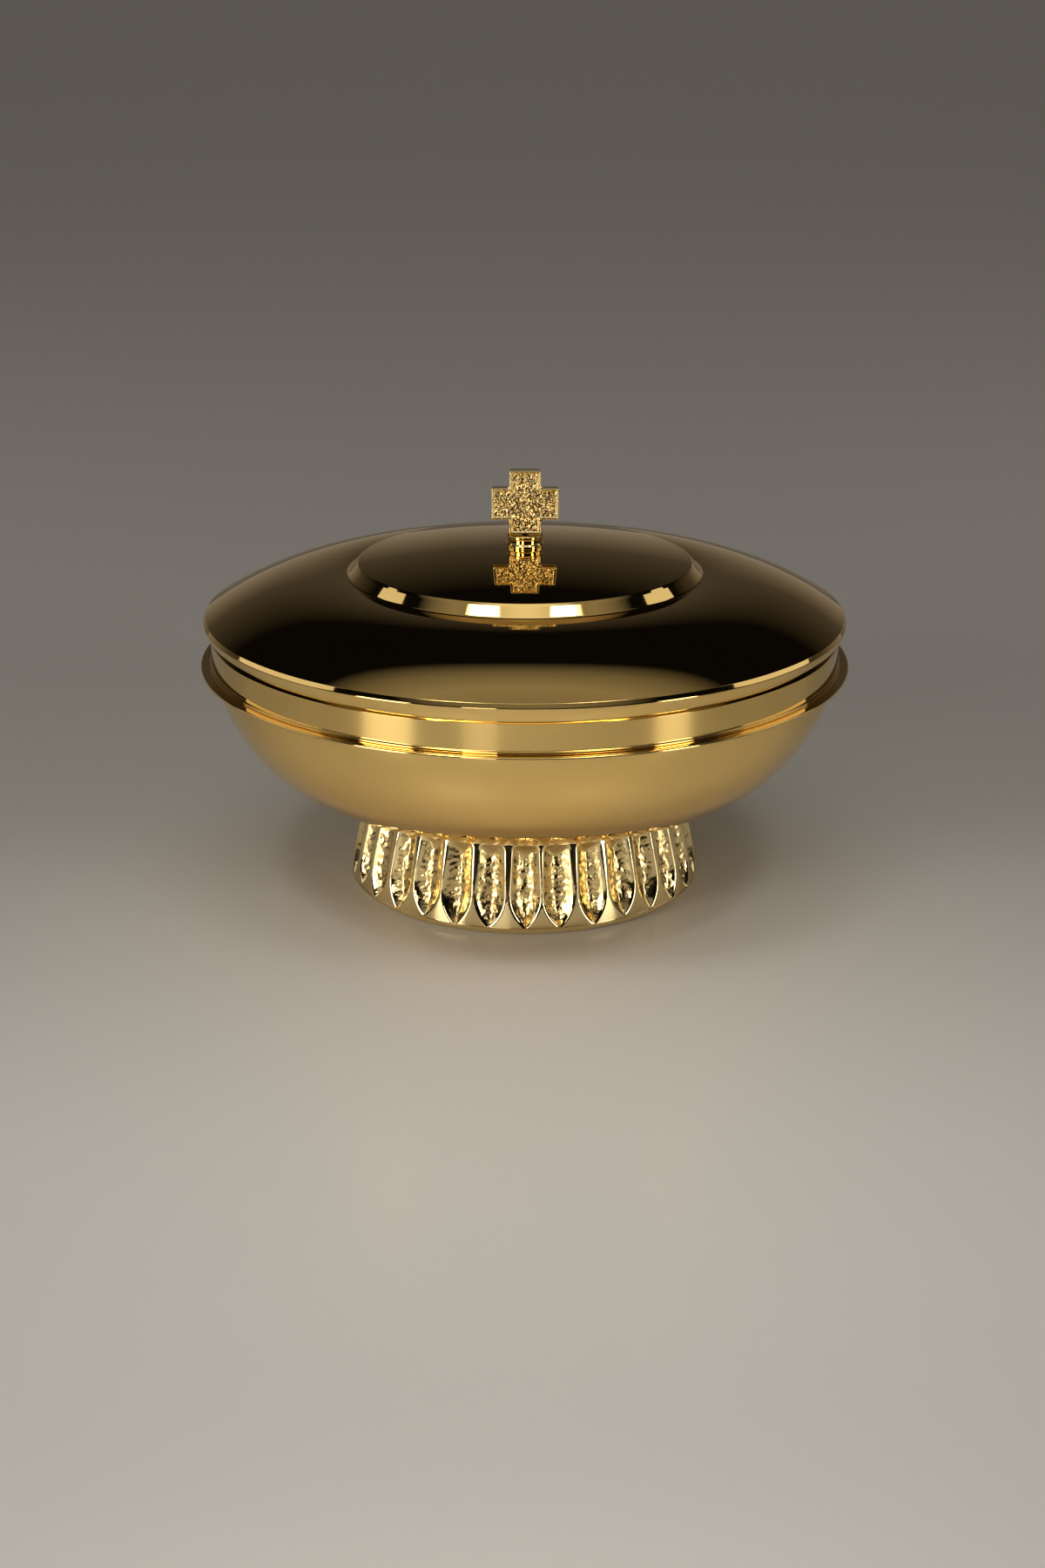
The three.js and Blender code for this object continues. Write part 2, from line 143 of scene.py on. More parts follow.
# One mesh from several patches.
def skin(name, *patches):
    points, quads, triangles, start = [], [], [], 0
    for places, whole, ends, values in patches:
        points.append(places)
        quads.append(whole + start)
        triangles.append(ends + start)
        start += len(places)
    corners = np.concatenate([np.concatenate(quads).ravel(), np.concatenate(triangles).ravel()])
    used, flat = np.unique(corners, return_inverse=True)
    sizes = np.repeat([4, 3], [sum(map(len, quads)), sum(map(len, triangles))])
    mesh = bpy.data.meshes.new(name)
    mesh.vertices.add(len(used))
    mesh.vertices.foreach_set("co", np.concatenate(points)[used].astype(np.float32).ravel())
    mesh.loops.add(len(flat))
    mesh.loops.foreach_set("vertex_index", flat.ravel().astype(np.int32))
    mesh.polygons.add(len(sizes))
    mesh.polygons.foreach_set("loop_start", np.concatenate([[0], np.cumsum(sizes)[:-1]]).astype(np.int32))
    mesh.polygons.foreach_set("use_smooth", np.ones(len(sizes), bool))
    mesh.update(calc_edges=True)
    for key in patches[0][3]:
        layer = mesh.attributes.new(key, "FLOAT", "POINT")
        whole = np.concatenate([values.get(key, np.zeros(len(places))).ravel()
                                for places, _, _, values in patches])
        layer.data.foreach_set("value", whole[used].astype(np.float32))
    mesh.validate()
    piece = bpy.data.objects.new(name, mesh)
    bpy.context.scene.collection.objects.link(piece)
    return piece


# Turns an outline (radius, height) about Z: x = r cos a, y = r sin a.
def turnedGrid(outline, steps):
    angle = np.linspace(0, 2 * np.pi, steps, endpoint=False)
    r = outline[:, :1]
    z = outline[:, 1:]
    return np.stack([r * np.cos(angle), r * np.sin(angle), z + 0 * angle], -1) * mm


# Gives a piece its finish, the CAD node that it stands for, and the body that it rides on.
def settle(piece, material, node, body):
    piece.data.materials.append(material)
    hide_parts(node)
    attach(piece, body)
    print("made", piece.name, len(piece.data.vertices), "points")


# The same for a closed outline turned about Z.
def settleTurned(name, outline, steps, material, node, body):
    settle(skin(name, patch(turnedGrid(outline, steps))), material, node, body)


# Smooth noise without a seam: many cosine waves in random directions, all near one wavelength, added up.
def waves(points, wavelength, seed, count=36, shortest=0.75, longest=1.35):
    rng = np.random.default_rng(seed)
    direction = rng.normal(size=(count, 3))
    direction /= np.linalg.norm(direction, axis=1)[:, None]
    number = 2 * np.pi / (wavelength * rng.uniform(shortest, longest, count))
    phase = rng.uniform(0, 2 * np.pi, count)
    total = np.zeros(points.shape[:-1])
    for k in range(count):
        total += np.cos(points @ (direction[k] * number[k]) + phase[k])
    return total / math.sqrt(count / 2)


def smoothStep(low, high, value):
    t = np.clip((value - low) / (high - low), 0, 1)
    return t * t * (3 - 2 * t)


# Distance from the axis that a piece is turned about, and height, both as sockets.
def turningPlace(tree, place):
    split = addNode(tree, "ShaderNodeSeparateXYZ", links={0: place.outputs["Object"]})
    flat = addNode(tree, "ShaderNodeCombineXYZ", links={0: split.outputs[0], 1: split.outputs[1]})
    radius = addNode(tree, "ShaderNodeVectorMath", {"operation": "LENGTH"}, {0: flat.outputs[0]})
    return radius.outputs["Value"], split.outputs[2]


# The end of every gilt finish: one metal shader takes the colour, the roughness and the fine relief.
def gild(tree, tone, gloss, relief):
    shader = addNode(tree, "ShaderNodeBsdfPrincipled", {"Metallic": 1.0}, {
        "Base Color": tone.outputs[2], "Roughness": gloss.outputs[0], "Normal": relief.outputs[0]})
    addNode(tree, "ShaderNodeOutputMaterial", links={0: shader.outputs[0]})


# Spun gold-plated brass, mirror polished: sharp reflections, a trace of haze and very faint rings from
# the polishing wheel, which follow the radius and the height and so run round the piece. Real rings are
# finer than the picture can show, so they are drawn at 0.35 mm.
def spunGilt():
    look = {"gold": "#f7d68c", "deepGold": "#efc878", "roughness": 0.035, "haze": 0.05,
            "cloudSize": 28 * mm, "cloudFrom": 0.35, "cloudTo": 0.75,
            "ringPitch": 0.35 * mm, "ringDeep": 0.002 * mm, "ringStrength": 0.12,
            "swellSize": 9 * mm, "swellDeep": 0.012 * mm, "swellStrength": 0.25}
    material, tree = emptyMaterial("spun_gilt_brass")
    place = addNode(tree, "ShaderNodeTexCoord")
    radius, height = turningPlace(tree, place)
    across = addNode(tree, "ShaderNodeCombineXYZ", links={0: radius, 1: height})
    rings = addNode(tree, "ShaderNodeTexNoise", {"Scale": 1 / look["ringPitch"], "Detail": 3.0},
                    {"Vector": across.outputs[0]})
    cloud = addNode(tree, "ShaderNodeTexNoise", {"Scale": 1 / look["cloudSize"], "Detail": 4.0},
                    {"Vector": place.outputs["Object"]})
    swell = addNode(tree, "ShaderNodeTexNoise", {"Scale": 1 / look["swellSize"], "Detail": 1.0},
                    {"Vector": place.outputs["Object"]})
    tone = addNode(tree, "ShaderNodeMix",
                   {"data_type": "RGBA", 6: linear(look["gold"]), 7: linear(look["deepGold"])},
                   {0: cloud.outputs[0]})
    gloss = addNode(tree, "ShaderNodeMapRange",
                    {1: look["cloudFrom"], 2: look["cloudTo"], 3: look["roughness"], 4: look["haze"]},
                    {0: cloud.outputs[0]})
    soft = addNode(tree, "ShaderNodeBump", {"Strength": look["swellStrength"], "Distance": look["swellDeep"]},
                   {"Height": swell.outputs[0]})
    fine = addNode(tree, "ShaderNodeBump", {"Strength": look["ringStrength"], "Distance": look["ringDeep"]},
                   {"Height": rings.outputs[0], "Normal": soft.outputs[0]})
    gild(tree, tone, gloss, fine)
    return material


# Cast gold-plated brass: the ridges are hand polished and bright, and the recesses keep the grain of the
# mould, so they glitter softly. The piece's own attribute "grain" tells the two apart.
def castGilt():
    look = {"ridge": "#fbe3a8", "recess": "#f8da98", "ridgeRoughness": 0.06, "recessRoughness": 0.15,
            "sandSize": 0.3 * mm, "pitSize": 0.6 * mm, "pitShare": 0.6,
            "grainDeep": 0.05 * mm, "grainStrength": 0.6,
            "rubSize": 2.5 * mm, "rubDeep": 0.03 * mm, "rubStrength": 0.3}
    material, tree = emptyMaterial("cast_gilt_brass")
    place = addNode(tree, "ShaderNodeTexCoord")
    grain = addNode(tree, "ShaderNodeAttribute", {"attribute_name": "grain"})
    sand = addNode(tree, "ShaderNodeTexNoise",
                   {"Scale": 1 / look["sandSize"], "Detail": 4.0, "Roughness": 0.6},
                   {"Vector": place.outputs["Object"]})
    pits = addNode(tree, "ShaderNodeTexVoronoi", {"Scale": 1 / look["pitSize"], "feature": "SMOOTH_F1"},
                   {"Vector": place.outputs["Object"]})
    rub = addNode(tree, "ShaderNodeTexNoise", {"Scale": 1 / look["rubSize"], "Detail": 2.0},
                  {"Vector": place.outputs["Object"]})
    relief = addNode(tree, "ShaderNodeMath", {"operation": "MULTIPLY_ADD", 1: look["pitShare"]},
                     {0: pits.outputs["Distance"], 2: sand.outputs[0]})
    gated = addNode(tree, "ShaderNodeMath", {"operation": "MULTIPLY"},
                    {0: relief.outputs[0], 1: grain.outputs["Fac"]})
    soft = addNode(tree, "ShaderNodeBump", {"Strength": look["rubStrength"], "Distance": look["rubDeep"]},
                   {"Height": rub.outputs[0]})
    bump = addNode(tree, "ShaderNodeBump", {"Strength": look["grainStrength"], "Distance": look["grainDeep"]},
                   {"Height": gated.outputs[0], "Normal": soft.outputs[0]})
    tone = addNode(tree, "ShaderNodeMix",
                   {"data_type": "RGBA", 6: linear(look["ridge"]), 7: linear(look["recess"])},
                   {0: grain.outputs["Fac"]})
    gloss = addNode(tree, "ShaderNodeMapRange", {3: look["ridgeRoughness"], 4: look["recessRoughness"]},
                    {0: grain.outputs["Fac"]})
    gild(tree, tone, gloss, bump)
    return material


# Turned gold-plated brass, left from the lathe: a satin face with fine rings of the tool's feed.
def turnedGilt():
    look = {"light": "#e8c57c", "dark": "#cfa458", "brightRoughness": 0.18, "dullRoughness": 0.32,
            "cloudSize": 6 * mm, "feed": 0.3 * mm, "grooveDeep": 0.012 * mm, "grooveStrength": 0.5}
    material, tree = emptyMaterial("turned_gilt_brass")
    place = addNode(tree, "ShaderNodeTexCoord")
    radius, height = turningPlace(tree, place)
    both = addNode(tree, "ShaderNodeMath", {"operation": "ADD"}, {0: radius, 1: height})
    turns = addNode(tree, "ShaderNodeMath", {"operation": "MULTIPLY", 1: 2 * math.pi / look["feed"]},
                    {0: both.outputs[0]})
    groove = addNode(tree, "ShaderNodeMath", {"operation": "SINE"}, {0: turns.outputs[0]})
    cloud = addNode(tree, "ShaderNodeTexNoise", {"Scale": 1 / look["cloudSize"], "Detail": 4.0},
                    {"Vector": place.outputs["Object"]})
    tone = addNode(tree, "ShaderNodeMix",
                   {"data_type": "RGBA", 6: linear(look["light"]), 7: linear(look["dark"])},
                   {0: cloud.outputs[0]})
    gloss = addNode(tree, "ShaderNodeMapRange", {3: look["brightRoughness"], 4: look["dullRoughness"]},
                    {0: cloud.outputs[0]})
    bump = addNode(tree, "ShaderNodeBump",
                   {"Strength": look["grooveStrength"], "Distance": look["grooveDeep"]},
                   {"Height": groove.outputs[0]})
    gild(tree, tone, gloss, bump)
    return material


spun = spunGilt()
cast = castGilt()
turned = turnedGilt()
print("finishes made")


# Fluted foot, cast. Its side flares as topR + spread (1 - (z / height) ^ flare). Under it are a wall, a
# hollow with a cove up to the web, and a ledge for the plate that closes it.
footShape = {
    "height": 21.5, "topR": 37.7, "spread": 4.2, "flare": 1.35, "topRound": 0.75,
    "edge": 1.2, "edgeRound": 1.0, "treadInset": 1.4, "treadRound": 0.9,
    "wall": 4.6, "web": 4.4, "coveRun": 5.0, "coveDrop": 8.8, "coveRows": 7, "ledge": 1.6, "plateThick": 2.0,
    "seatR": 23.5, "seatSlope": 0.9, "wellR": 9.3, "wellDeep": 1.9, "boreR": 3.3,
    "sideFrom": 0.5, "sideTo": 0.7, "sideRows": 70, "columns": 24, "arcSteps": 4,
}

# Each flute is cut below the side by depth (1 - (1 - d / run) ^ fall), with d the distance inside its
# outline. Its point is a curve: with u from 0 to 1, the way up is tipRun u + tipBend u ^ 2 and the width
# 1 - (1 - u) ^ 2. The flutes differ a little, as hand-finished ones do. Pits are weight, wavelength,
# stretch up the flute and seed.
fluteShape = {
    "count": 32, "low": 2.0, "topMargin": 0.85, "ridge": 0.9, "topRidge": 1.5, "belly": 0.4,
    "tipRun": 0.32, "tipBend": 0.1, "cornerR": 1.6, "depth": 1.95, "run": 3.3, "fall": 1.8,
    "lipSoft": 0.02, "lipFrom": 0.02, "seed": 5, "unevenWide": 0.04, "unevenDeep": 0.1, "unevenLow": 0.4,
    "unevenSide": 0.14, "grainFrom": 0.75, "grainBlend": 0.12, "ragged": 0.16, "raggedWave": 1.6,
    "grainDeep": 0.08, "grainRough": 0.05, "pits": [(0.7, 0.62, 0.5, 12), (0.9, 1.15, 0.35, 14)],
    "creases": (0.9, 1.7, 0.7, 13),
}


# Radius of the foot's plain side at a height.
def footSide(z):
    rise = np.clip(z / footShape["height"], 0, 1)
    return footShape["topR"] + footShape["spread"] * (1 - rise ** footShape["flare"])


# Half of the room between two ridges at a share t of the flute's length: a curve out of the point, then
# straight.
def fluteHalf(t, z):
    shape = fluteShape
    room = footSide(z) * math.sin(math.pi / shape["count"])
    run, bend = shape["tipRun"], shape["tipBend"]
    u = (-run + np.sqrt(run ** 2 + 4 * bend * np.clip(t, 0, shape["belly"]))) / (2 * bend)
    pointed = (room - shape["ridge"] / 2) * (1 - (1 - u) ** 2)
    lean = np.clip((t - shape["belly"]) / (1 - shape["belly"]), 0, 1)
    straight = room - (shape["ridge"] * (1 - lean) + shape["topRidge"] * lean) / 2
    return np.where(t < shape["belly"], pointed, straight)


# Depth of the flutes and share of rough grain at each angle and height, in millimetres.
def fluteRelief(angle, z):
    shape = fluteShape
    hand = np.random.default_rng(shape["seed"])
    pitch = 2 * np.pi / shape["count"]
    number = np.round(angle / pitch).astype(int) % shape["count"]
    wide = 1 + hand.normal(0, shape["unevenWide"], shape["count"])[number]
    deep = 1 + hand.normal(0, shape["unevenDeep"], shape["count"])[number]
    lower = hand.normal(0, shape["unevenLow"], shape["count"])[number]
    side = hand.normal(0, shape["unevenSide"], shape["count"])[number]
    high = footShape["height"] - shape["topMargin"]
    low = shape["low"] + lower
    t = (z - low) / (high - low)
    across = np.abs((angle - np.round(angle / pitch) * pitch) * footSide(z) - side)
    half = fluteHalf(t, z) * wide
    step = 0.01
    slope = (fluteHalf(t + step, z) - fluteHalf(t - step, z)) / (2 * step * (high - low))
    fromSide = (half - across) / np.sqrt(1 + slope ** 2)
    fromTop = high - z
    corner = shape["cornerR"]
    cut = corner - np.hypot(np.clip(corner - fromSide, 0, None), np.clip(corner - fromTop, 0, None))
    inside = np.where((fromSide < corner) & (fromTop < corner), cut, np.minimum(fromSide, fromTop))
    inside = np.where(t < 0, -1.0, inside)
    points = np.stack([footSide(z) * np.cos(angle), footSide(z) * np.sin(angle), z], -1)
    ragged = shape["ragged"] * waves(points, shape["raggedWave"], 11)
    grain = smoothStep(-shape["grainBlend"], shape["grainBlend"], inside - shape["grainFrom"] + ragged)
    soft = 0.5 * (inside + np.sqrt(inside ** 2 + shape["lipSoft"]))
    trough = 1 - (1 - np.clip(soft / shape["run"], 0, 1)) ** shape["fall"]
    pitted = sum(weight * waves(points * [1, 1, stretch], wavelength, seed)
                 for weight, wavelength, stretch, seed in shape["pits"])
    weight, wavelength, stretch, seed = shape["creases"]
    pitted -= weight * np.abs(waves(points * [1, 1, stretch], wavelength, seed))
    rough = shape["grainDeep"] + shape["grainRough"] * pitted
    return shape["depth"] * deep * trough * (soft > shape["lipFrom"]) + grain * rough, grain


def makeFoot():
    size = sizeOf("foot_fluted_ring")
    shape = footShape
    sideZ = np.linspace(shape["edge"] + shape["sideFrom"], shape["height"] - shape["sideTo"],
                        shape["sideRows"])
    side = np.stack([footSide(sideZ), sideZ], 1)
    hollowR = size["radius"] - shape["wall"]
    webUnder = shape["height"] - shape["web"]
    wellFloor = size["top"] - shape["wellDeep"]
    turn = np.linspace(0, np.pi / 2, shape["coveRows"])
    cove = np.stack([hollowR - shape["coveRun"] * (1 - np.sin(turn)),
                     webUnder - shape["coveDrop"] * (1 - np.cos(turn))], 1)
    inner = rounded([
        (side[-1][0], side[-1][1], 0),
        (footSide(shape["height"]), shape["height"], shape["topRound"]),
        (shape["seatR"] + shape["seatSlope"], shape["height"], 0),
        (shape["seatR"], size["top"], 0),
        (shape["wellR"], size["top"], 0),
        (shape["wellR"], wellFloor, 0),
        (shape["boreR"], wellFloor, 0),
        (shape["boreR"], webUnder, 0),
        *[(r, z, 0) for r, z in cove],
        (hollowR, shape["plateThick"], 0),
        (hollowR + shape["ledge"], shape["plateThick"], 0),
        (hollowR + shape["ledge"], 0, 0),
        (size["radius"] - shape["treadInset"], 0, shape["treadRound"]),
        (footSide(shape["edge"]), shape["edge"], shape["edgeRound"]),
        (side[0][0], side[0][1], 0),
    ], arcSteps=shape["arcSteps"])
    outline = np.concatenate([side, inner[1:-1]])
    grid = turnedGrid(outline, fluteShape["count"] * shape["columns"])
    angle = np.linspace(0, 2 * np.pi, grid.shape[1], endpoint=False) + 0 * sideZ[:, None]
    depth, grain = fluteRelief(angle, sideZ[:, None] + 0 * angle)
    lean = np.gradient(side, axis=0)
    lean /= np.linalg.norm(lean, axis=1)[:, None]
    rows = slice(0, len(side))
    grid[rows, :, 0] -= depth * mm * lean[:, 1:] * np.cos(angle)
    grid[rows, :, 1] -= depth * mm * lean[:, 1:] * np.sin(angle)
    grid[rows, :, 2] += depth * mm * lean[:, :1]
    shown = np.zeros(grid.shape[:2])
    shown[rows] = grain
    settle(skin("fluted_foot", patch(grid, {"grain": shown})), cast, "foot_fluted_ring", "base")


makeFoot()

# Bowl, a spun sheet. From the edge of its flat out to the rim its outline follows a squared-off quarter
# curve: out = sin(a) ^ (2 / roundness) and up = 1 - cos(a) ^ (2 / fullness).
bowlShape = {"flatR": 24.0, "roundness": 3.137, "fullness": 1.502, "sheet": 1.2, "rimKeep": 0.05,
             "curvePoints": 1500, "floorRows": 16, "rows": 78, "steps": 384}


def makeBowl():
    size = sizeOf("bowl_shell")
    shape = bowlShape
    a = np.linspace(0, np.pi / 2, shape["curvePoints"])
    out = np.sin(a) ** (2 / shape["roundness"])
    up = 1 - np.clip(np.cos(a), 0, 1) ** (2 / shape["fullness"])
    r = shape["flatR"] + (size["radius"] - shape["flatR"]) * out
    outer = np.stack([r, size["bottom"] + (size["top"] - size["bottom"]) * up], 1)
    inner = sideways(outer, shape["sheet"])[::-1]
    inner[0] = [size["radius"] - shape["sheet"], size["top"]]
    share = np.linspace(1, 0, shape["floorRows"])
    outerFloor = np.stack([share[::-1] * shape["flatR"], 0 * share + size["bottom"]], 1)
    innerFloor = np.stack([share * inner[-1][0], 0 * share + size["bottom"] + shape["sheet"]], 1)
    keep = shape["rimKeep"]
    outline = np.concatenate([
        outerFloor[:-1], evenly(outer, shape["rows"])[:-1],
        outer[-1:] - [0, keep], outer[-1:] - [keep, 0],
        inner[:1] + [keep, 0], inner[:1] - [0, keep],
        evenly(inner, shape["rows"])[1:], innerFloor[1:],
    ])
    settleTurned("spun_bowl", outline, shape["steps"], spun, "bowl_shell", "base")


makeBowl()

# Rim flange, a thin flat ring with a round edge, soldered on the bowl. The lid's band stands on it.
rimShape = {"edge": 0.38, "bore": 0.15, "steps": 384}


def makeRimRing():
    size = sizeOf("bowl_rim_ring")
    bore = sizeOf("bowl_shell")["radius"] - bowlShape["sheet"]
    outline = rounded([
        (bore, size["bottom"], rimShape["bore"]),
        (size["radius"], size["bottom"], rimShape["edge"]),
        (size["radius"], size["top"], rimShape["edge"]),
        (bore, size["top"], rimShape["bore"]),
    ])
    settleTurned("bowl_rim", outline, rimShape["steps"], spun, "bowl_rim_ring", "base")


makeRimRing()

# Band of the lid: a straight turned wall with a bead at its foot and a spigot that drops inside the bowl.
bandShape = {"wallR": 73.3, "wall": 1.4, "beadThick": 0.55, "bead": 0.2, "cove": 0.2,
             "spigotR": 71.4, "spigotWall": 1.0, "spigotRise": 2.2, "edge": 0.2, "steps": 384}


def makeBand():
    size = sizeOf("lid_band")
    shape = bandShape
    seat = sizeOf("bowl_rim_ring")["top"]
    bore = shape["wallR"] - shape["wall"]
    spigotBore = shape["spigotR"] - shape["spigotWall"]
    outline = rounded([
        (spigotBore, size["bottom"], shape["edge"]),
        (shape["spigotR"], size["bottom"], shape["edge"]),
        (shape["spigotR"], seat, 0),
        (size["radius"], seat, shape["bead"]),
        (size["radius"], seat + shape["beadThick"], shape["bead"]),
        (shape["wallR"], seat + shape["beadThick"], shape["cove"]),
        (shape["wallR"], size["top"], 0),
        (bore, size["top"], 0),
        (bore, seat + shape["spigotRise"], shape["edge"]),
        (spigotBore, seat + shape["spigotRise"], shape["edge"]),
    ])
    settleTurned("lid_band_ring", outline, shape["steps"], spun, "lid_band", "lid")


makeBand()

# Dome of the lid: a lip that leans out over the band, a rounded shoulder, a slope that is an arc level at
# its crest, a step with a round edge, and a disc that swells as a parabola to a flat under the collar.
domeShape = {
    "lipOver": 1.25, "lipRise": 2.35, "lipRound": 0.3, "shoulderRise": 1.43, "shoulderRound": 0.6,
    "shoulderUp": 1.7, "brimRound": 0.5, "edgeWall": 2.2, "edgeWallRound": 0.8,
    "rise": 8.8, "crestOut": 1.6, "discR": 39.2, "stepRun": 2.1, "stepRound": 0.9,
    "riserOut": 0.1, "riserRound": 0.6, "edgeRun": 0.4, "edgeRise": 0.5, "crownRound": 0.5, "discSwell": 3.35,
    "flatR": 5.4, "sheet": 1.2, "boreR": 1.5, "boreRound": 0.1, "underRound": 0.6,
    "slopeRows": 56, "discRows": 40, "steps": 384,
}


def makeDome():
    size = sizeOf("lid_dome")
    shape = domeShape
    wallR = bandShape["wallR"]
    lipZ = size["bottom"] + shape["lipRise"]
    shoulderZ = lipZ + shape["shoulderRise"]
    edgeR = size["radius"] - shape["shoulderRound"]
    edgeZ = shoulderZ + shape["shoulderRound"] * shape["shoulderUp"]
    footR = shape["discR"] + shape["stepRun"]
    crestR = footR + shape["crestOut"]
    crestZ = edgeZ + shape["rise"]
    arcR = ((edgeR - crestR) ** 2 + shape["rise"] ** 2) / (2 * shape["rise"])
    slopeR = np.linspace(edgeR, footR, shape["slopeRows"])
    slope = np.stack([slopeR, crestZ - arcR + np.sqrt(arcR ** 2 - (slopeR - crestR) ** 2)], 1)
    crownR = shape["discR"] - shape["edgeRun"]
    discR = np.linspace(crownR, shape["flatR"], shape["discRows"])
    fall = (discR ** 2 - shape["flatR"] ** 2) / (crownR ** 2 - shape["flatR"] ** 2)
    disc = np.stack([discR, size["top"] - shape["discSwell"] * fall], 1)
    underSlope = sideways(slope, shape["sheet"])[::-2]
    underDisc = sideways(disc, shape["sheet"])[::-2]
    underDisc[0] = [shape["flatR"], size["top"] - shape["sheet"]]
    outline = rounded([
        (wallR - bandShape["wall"], size["bottom"], 0),
        (wallR, size["bottom"], 0),
        (wallR + shape["lipOver"], lipZ, shape["lipRound"]),
        (size["radius"], shoulderZ, shape["brimRound"]),
        *[(r, z, 0) for r, z in slope[:-1]],
        (footR, slope[-1][1], shape["stepRound"]),
        (shape["discR"] + shape["riserOut"], disc[0][1] - shape["edgeRise"], shape["riserRound"]),
        (disc[0][0], disc[0][1], shape["crownRound"]),
        *[(r, z, 0) for r, z in disc[2:]],
        (shape["boreR"], size["top"], shape["boreRound"]),
        (shape["boreR"], size["top"] - shape["sheet"], shape["boreRound"]),
        *[(r, z, 0) for r, z in underDisc[:-1]],
        (*underDisc[-1], shape["underRound"]),
        (*underSlope[0], shape["underRound"]),
        *[(r, z, 0) for r, z in underSlope[1:-1]],
        (size["radius"] - shape["edgeWall"], shoulderZ - shape["edgeWall"] / 2, shape["edgeWallRound"]),
    ])
    settleTurned("lid_dome_shell", outline, shape["steps"], spun, "lid_dome", "lid")


makeDome()

# Collar under the cross: a small polished drum with a wide foot, a waist and a bead above. Its outline
# goes up by share of the height, millimetres in from the widest, and rounding.
collarShape = {"boreR": 1.5, "steps": 128, "keep": 0.02, "outline": [
    (0, 0, 0.12), (0.22, 0, 0.12), (0.36, 0.35, 0.2), (0.7, 0.35, 0.15), (0.78, 0.1, 0.12), (1, 0.1, 0.25)]}


def makeCollar():
    size = sizeOf("cross_collar")
    tall = size["top"] - size["bottom"]
    outline = rounded([
        (collarShape["boreR"], size["bottom"], 0),
        *[(size["radius"] - inwards, size["bottom"] + tall * share, rounding)
          for share, inwards, rounding in collarShape["outline"]],
        (collarShape["boreR"], size["top"], 0),
    ], keep=collarShape["keep"])
    settleTurned("finial_collar", outline, collarShape["steps"], spun, "cross_collar", "lid")


makeCollar()

# Cross. Its outline is drawn in by an inset s, so that every point is a function of the way u along the
# outline and of s. The relief over s is a rounded edge, a raised border and a sunk field with a chased
# grain.
crossShape = {
    "arm": 3.7, "thick": 2.6, "border": 0.55, "deep": 0.35, "edge": 0.28, "corner": 0.45, "inner": 0.7,
    "innerFade": 1.6, "arcShare": 0.45, "leastArc": 0.001,
    "fieldFrom": -0.1, "fieldTo": 0.25, "chased": 0.058, "chasedUp": 0.5,
    "rays": 16, "rayBend": 1.2, "rayWave": 2.5, "rayIn": (0.3, 1.0), "rayOut": (2.6, 4.2), "rayDeep": 0.4,
    "stroke": 0.75, "strokeBend": 1.5, "strokeWave": 1.8, "strokeIn": (3.0, 4.0), "strokeDeep": 0.3,
    "grainWave": 0.75, "grainDeep": 0.6, "creaseWave": 1.3, "creaseDeep": 0.8,
    "shankR": 1.2, "shankIn": 0.8, "pitch": 0.45, "threadDeep": 0.22, "threadStop": 0.6,
    "perSide": 46, "perEnd": 64, "faceRows": 44, "edgeRows": 7, "wallRows": 10, "weld": 1e-7,
}


# Corners of the outline at an inset, counter-clockwise from the lower left.
def crossCorners(inset, half, stem):
    a = crossShape["arm"] - inset
    h = half - inset
    low = inset - stem
    corners = [(-a, low), (a, low), (a, -a), (h, -a), (h, a), (a, a),
               (a, h), (-a, h), (-a, a), (-h, a), (-h, -a), (-a, -a)]
    return np.array(corners)


# Points round the outline at an inset. Near a corner they leave the straight sides for an arc. The sides
# numbered in ends close the stem and the arms, and the corners numbered in inwards are those in the
# angles of the cross.
def crossLoop(inset, half, stem):
    shape = crossShape
    corners = crossCorners(inset, half, stem)
    ends = {0, 3, 6, 9}
    inwards = {2, 5, 8, 11}
    fade = max(0.0, 1 - inset / shape["innerFade"])
    points = []
    for k in range(12):
        here, after = corners[k], corners[(k + 1) % 12]
        length = np.linalg.norm(after - here)
        along = (after - here) / max(length, nearlyZero)
        inSide = np.array([-along[1], along[0]])
        count = shape["perEnd"] if k in ends else shape["perSide"]
        at = np.arange(count) / count * length
        line = here + at[:, None] * along
        for corner, distance, way in ((k, at, 1), ((k + 1) % 12, length - at, -1)):
            turnsIn = corner in inwards
            reach = shape["inner"] * fade if turnsIn else max(shape["corner"] - inset, 0)
            reach = min(reach, length * shape["arcShare"])
            if reach < shape["leastArc"]:
                continue
            near = distance < reach
            angle = np.pi / 4 * (1 + distance[near] / reach)[:, None]
            side = -inSide if turnsIn else inSide
            centre = corners[corner] + reach * (way * along + side)
            line[near] = centre - reach * (np.cos(angle) * way * along + np.sin(angle) * side)
        points.append(line)
    return np.concatenate(points)


# Height of the face over the top of its border: the field lies lower and is chased with rays, strokes and
# grain.
def crossRelief(x, z, inset):
    shape = crossShape
    places = np.stack([x, 0 * x, z], -1)
    field = smoothStep(shape["border"] + shape["fieldFrom"], shape["border"] + shape["fieldTo"], inset)
    centre = np.hypot(x, z)
    rays = np.cos(shape["rays"] * np.arctan2(z, x) + shape["rayBend"] * waves(places, shape["rayWave"], 21))
    rays *= smoothStep(*shape["rayIn"], centre) * (1 - smoothStep(*shape["rayOut"], centre))
    bend = shape["strokeBend"] * waves(places, shape["strokeWave"], 22)
    strokes = np.cos(2 * np.pi * x / shape["stroke"] + bend) * smoothStep(*shape["strokeIn"], centre)
    chased = shape["grainDeep"] * waves(places, shape["grainWave"], 23)
    chased -= shape["creaseDeep"] * np.abs(waves(places, shape["creaseWave"], 24))
    chased += shape["rayDeep"] * rays + shape["strokeDeep"] * strokes
    return field * (shape["chased"] * (chased + shape["chasedUp"]) - shape["deep"]), field


